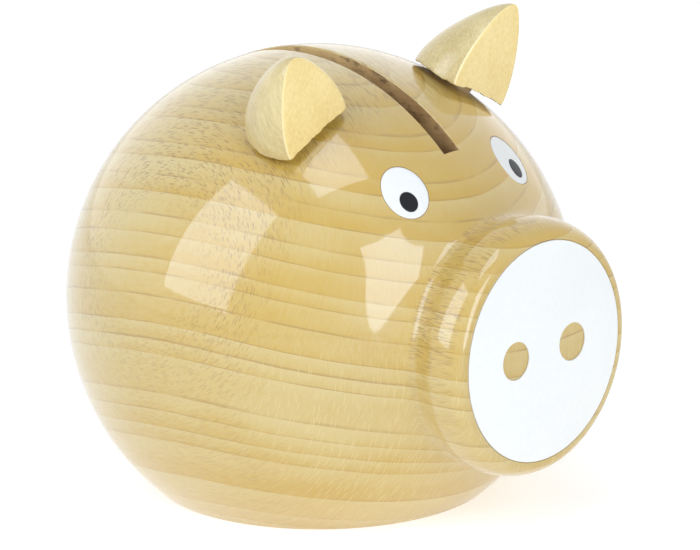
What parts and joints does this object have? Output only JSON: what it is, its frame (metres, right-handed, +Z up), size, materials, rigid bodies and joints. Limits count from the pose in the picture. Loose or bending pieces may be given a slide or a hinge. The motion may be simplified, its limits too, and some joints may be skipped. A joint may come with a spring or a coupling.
{
  "type": "wooden money box",
  "caption": "Turned wooden money box in the shape of a pig, with a coin slot on top, doweled ears, a white snout disc and a push-in stopper underneath.",
  "frame": {"origin": "on the surface it stands on, below the middle of the box around the whole object; the ball's centre is 5.35 mm behind it (+Y) and 41 mm up", "axes": "+Z up; the pig looks along -Y; +X is the pig's left; the snout and the ball are turned about one level axis along Y"},
  "size_m": [0.11, 0.1208, 0.105],
  "materials": {
    "lacquered_beech": "high-gloss clear lacquer over golden beech",
    "ear_wood": "pale wood, satin lacquer",
    "raw_beech": "sanded, unfinished",
    "white_enamel": "smooth cool white",
    "black_enamel": "smooth black",
    "stopper_rubber": "matte"
  },
  "bodies": {
    "bank": {"body": "lacquered_beech", "ear_right": "ear_wood", "ear_left": "ear_wood", "ear_dowel_right": "raw_beech", "ear_dowel_left": "raw_beech", "snout_disc": "white_enamel", "eye_white_right": "white_enamel", "eye_white_left": "white_enamel", "pupil_right": "black_enamel", "pupil_left": "black_enamel", "base_disc": "raw_beech"},
    "stopper": {"stopper": "stopper_rubber"}
  },
  "joints": [
    {"name": "stopper_pull", "type": "slide", "parent": "bank", "child": "stopper", "axis": [0, 0, -1], "range_m": [0, 0.03]}
  ]
}
